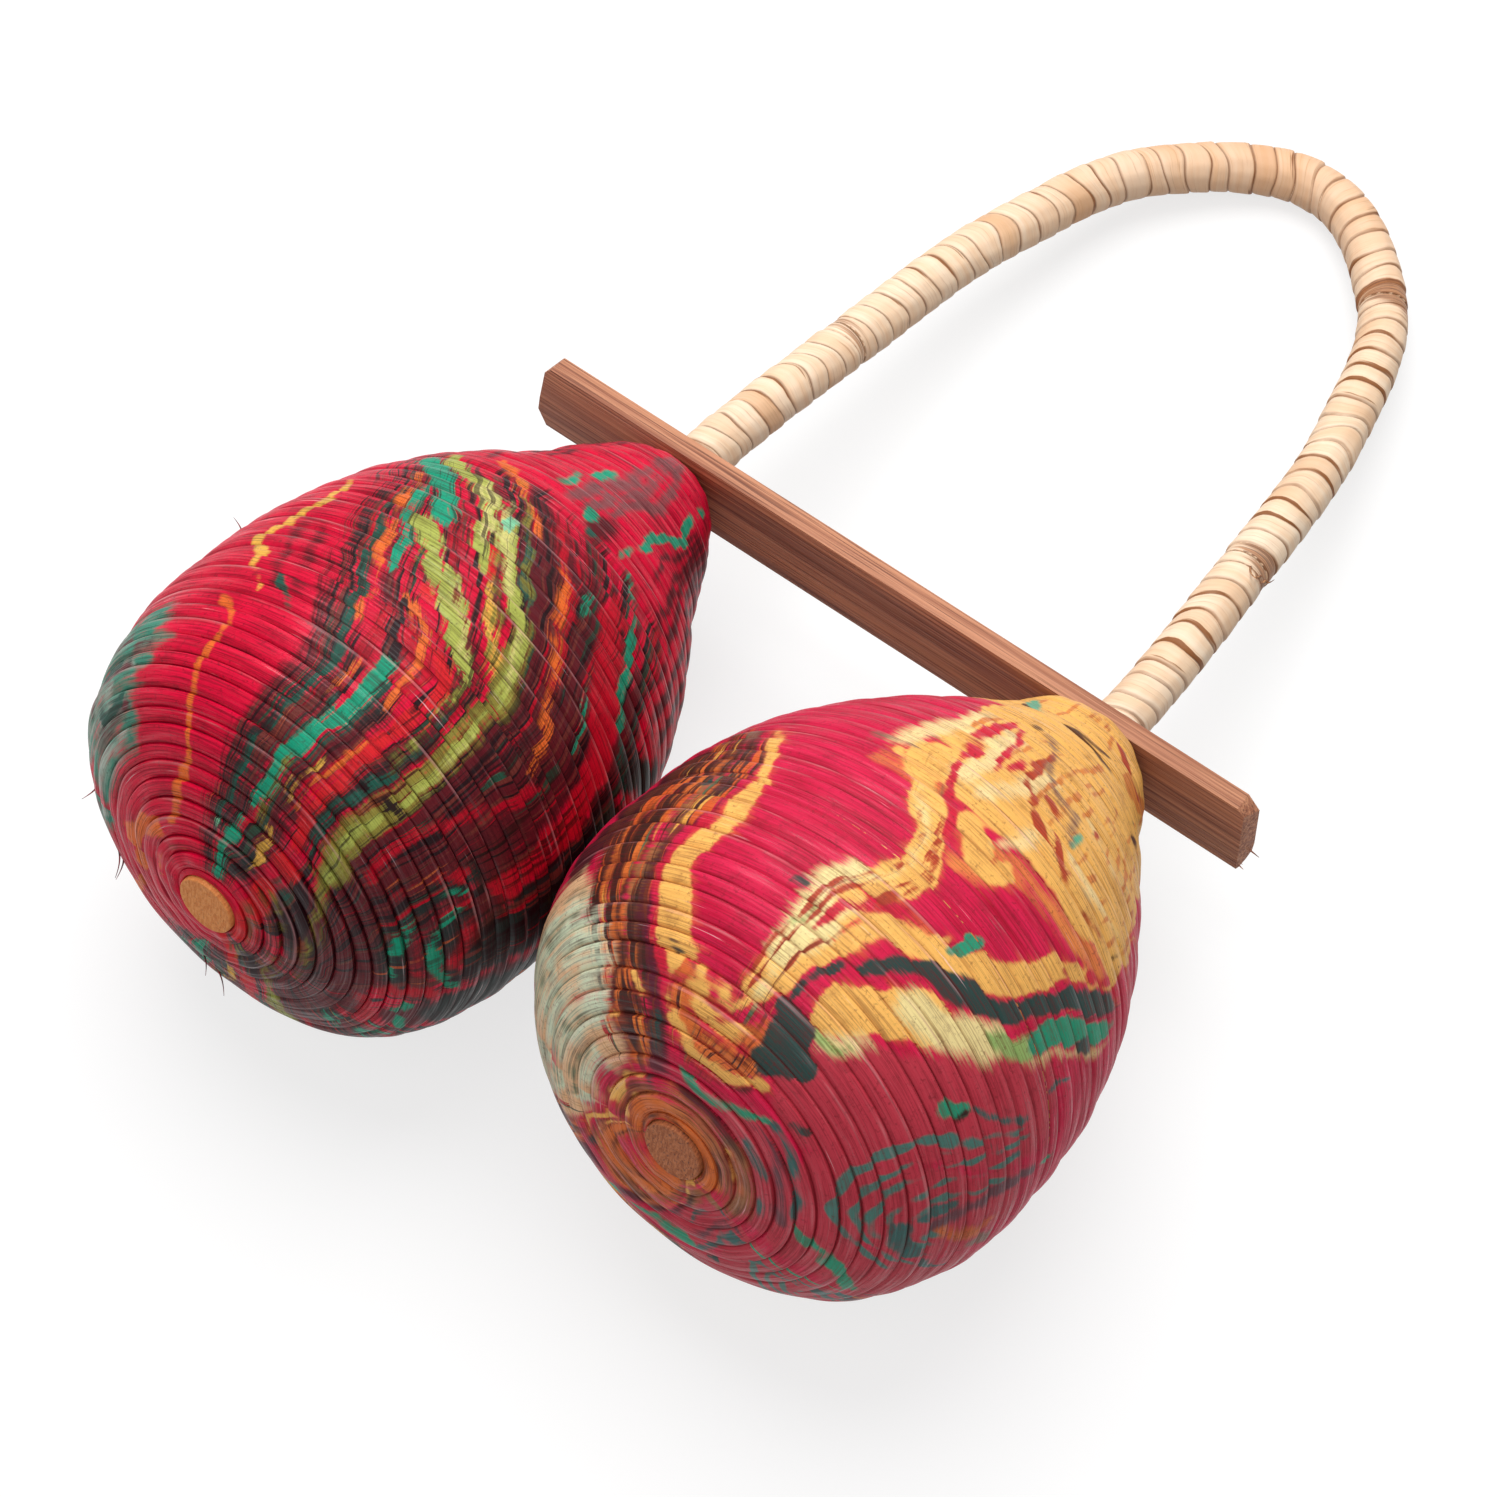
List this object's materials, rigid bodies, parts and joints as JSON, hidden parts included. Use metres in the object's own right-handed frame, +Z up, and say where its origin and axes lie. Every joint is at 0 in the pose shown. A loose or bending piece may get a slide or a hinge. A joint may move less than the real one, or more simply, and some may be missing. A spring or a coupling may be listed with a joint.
{
  "type": "double maraca",
  "caption": "Double maraca: two hollow wound rattle heads on a bent, strip-wrapped cane handle with a lath crossbar; loose seeds inside sound when it is shaken.",
  "frame": {"origin": "middle of the footprint of the whole object, on the table that both heads and the bend of the handle rest on", "axes": "+X along the crossbar towards the right head, +Y towards the bend of the handle, +Z up from the table"},
  "size_m": [0.1712, 0.2626, 0.089],
  "materials": {
    "cane": "bare peeled cane",
    "wrap_strip": "pale split strip, clear varnish",
    "lath": "brown straight-grained lath, sawn, thin varnish",
    "left_head": "wound fibre strip, marbled in red, green and yellow, varnished",
    "right_head": "wound fibre strip, marbled in red, ochre and green, varnished",
    "left_plug": "orange stain, matt",
    "right_plug": "brown pith, matt",
    "seed": "dry seed coat"
  },
  "bodies": {
    "frame": {"handle_cane": "cane", "left_leg_wrap": "wrap_strip", "bend_wrap": "wrap_strip", "right_shoulder_wrap": "wrap_strip", "right_leg_wrap": "wrap_strip", "crossbar": "lath", "left_head_shell": "left_head", "right_head_shell": "right_head", "left_end_plug": "left_plug", "right_end_plug": "right_plug"},
    "left_seed_1": {"left_seed_1": "seed"},
    "left_seed_2": {"left_seed_2": "seed"},
    "left_seed_3": {"left_seed_3": "seed"},
    "left_seed_4": {"left_seed_4": "seed"},
    "left_seed_5": {"left_seed_5": "seed"},
    "left_seed_6": {"left_seed_6": "seed"},
    "left_seed_7": {"left_seed_7": "seed"},
    "left_seed_8": {"left_seed_8": "seed"},
    "right_seed_1": {"right_seed_1": "seed"},
    "right_seed_2": {"right_seed_2": "seed"},
    "right_seed_3": {"right_seed_3": "seed"},
    "right_seed_4": {"right_seed_4": "seed"},
    "right_seed_5": {"right_seed_5": "seed"},
    "right_seed_6": {"right_seed_6": "seed"},
    "right_seed_7": {"right_seed_7": "seed"},
    "right_seed_8": {"right_seed_8": "seed"}
  },
  "joints": [
    {"name": "left_seed_1_roll", "type": "hinge", "parent": "frame", "child": "left_seed_1", "pos_m": [-0.04386, -0.11442, 0.04616], "axis": [0.0085, 0.9866, -0.1629], "continuous": true},
    {"name": "left_seed_2_roll", "type": "hinge", "parent": "frame", "child": "left_seed_2", "pos_m": [-0.04379, -0.10692, 0.04492], "axis": [0.0085, 0.9866, -0.1629], "continuous": true},
    {"name": "left_seed_3_roll", "type": "hinge", "parent": "frame", "child": "left_seed_3", "pos_m": [-0.04373, -0.09943, 0.04368], "axis": [0.0085, 0.9866, -0.1629], "continuous": true},
    {"name": "left_seed_4_roll", "type": "hinge", "parent": "frame", "child": "left_seed_4", "pos_m": [-0.04366, -0.09193, 0.04244], "axis": [0.0085, 0.9866, -0.1629], "continuous": true},
    {"name": "left_seed_5_roll", "type": "hinge", "parent": "frame", "child": "left_seed_5", "pos_m": [-0.0436, -0.08443, 0.04121], "axis": [0.0085, 0.9866, -0.1629], "continuous": true},
    {"name": "left_seed_6_roll", "type": "hinge", "parent": "frame", "child": "left_seed_6", "pos_m": [-0.04353, -0.07693, 0.03997], "axis": [0.0085, 0.9866, -0.1629], "continuous": true},
    {"name": "left_seed_7_roll", "type": "hinge", "parent": "frame", "child": "left_seed_7", "pos_m": [-0.04347, -0.06943, 0.03873], "axis": [0.0085, 0.9866, -0.1629], "continuous": true},
    {"name": "left_seed_8_roll", "type": "hinge", "parent": "frame", "child": "left_seed_8", "pos_m": [-0.0434, -0.06193, 0.03749], "axis": [0.0085, 0.9866, -0.1629], "continuous": true},
    {"name": "right_seed_1_roll", "type": "hinge", "parent": "frame", "child": "right_seed_1", "pos_m": [0.04136, -0.10503, 0.04875], "axis": [0.0294, 0.9782, -0.2057], "continuous": true},
    {"name": "right_seed_2_roll", "type": "hinge", "parent": "frame", "child": "right_seed_2", "pos_m": [0.04159, -0.0976, 0.04719], "axis": [0.0294, 0.9782, -0.2057], "continuous": true},
    {"name": "right_seed_3_roll", "type": "hinge", "parent": "frame", "child": "right_seed_3", "pos_m": [0.04181, -0.09016, 0.04562], "axis": [0.0294, 0.9782, -0.2057], "continuous": true},
    {"name": "right_seed_4_roll", "type": "hinge", "parent": "frame", "child": "right_seed_4", "pos_m": [0.04203, -0.08273, 0.04406], "axis": [0.0294, 0.9782, -0.2057], "continuous": true},
    {"name": "right_seed_5_roll", "type": "hinge", "parent": "frame", "child": "right_seed_5", "pos_m": [0.04226, -0.0753, 0.0425], "axis": [0.0294, 0.9782, -0.2057], "continuous": true},
    {"name": "right_seed_6_roll", "type": "hinge", "parent": "frame", "child": "right_seed_6", "pos_m": [0.04248, -0.06786, 0.04093], "axis": [0.0294, 0.9782, -0.2057], "continuous": true},
    {"name": "right_seed_7_roll", "type": "hinge", "parent": "frame", "child": "right_seed_7", "pos_m": [0.0427, -0.06043, 0.03937], "axis": [0.0294, 0.9782, -0.2057], "continuous": true},
    {"name": "right_seed_8_roll", "type": "hinge", "parent": "frame", "child": "right_seed_8", "pos_m": [0.04293, -0.05299, 0.0378], "axis": [0.0294, 0.9782, -0.2057], "continuous": true}
  ]
}
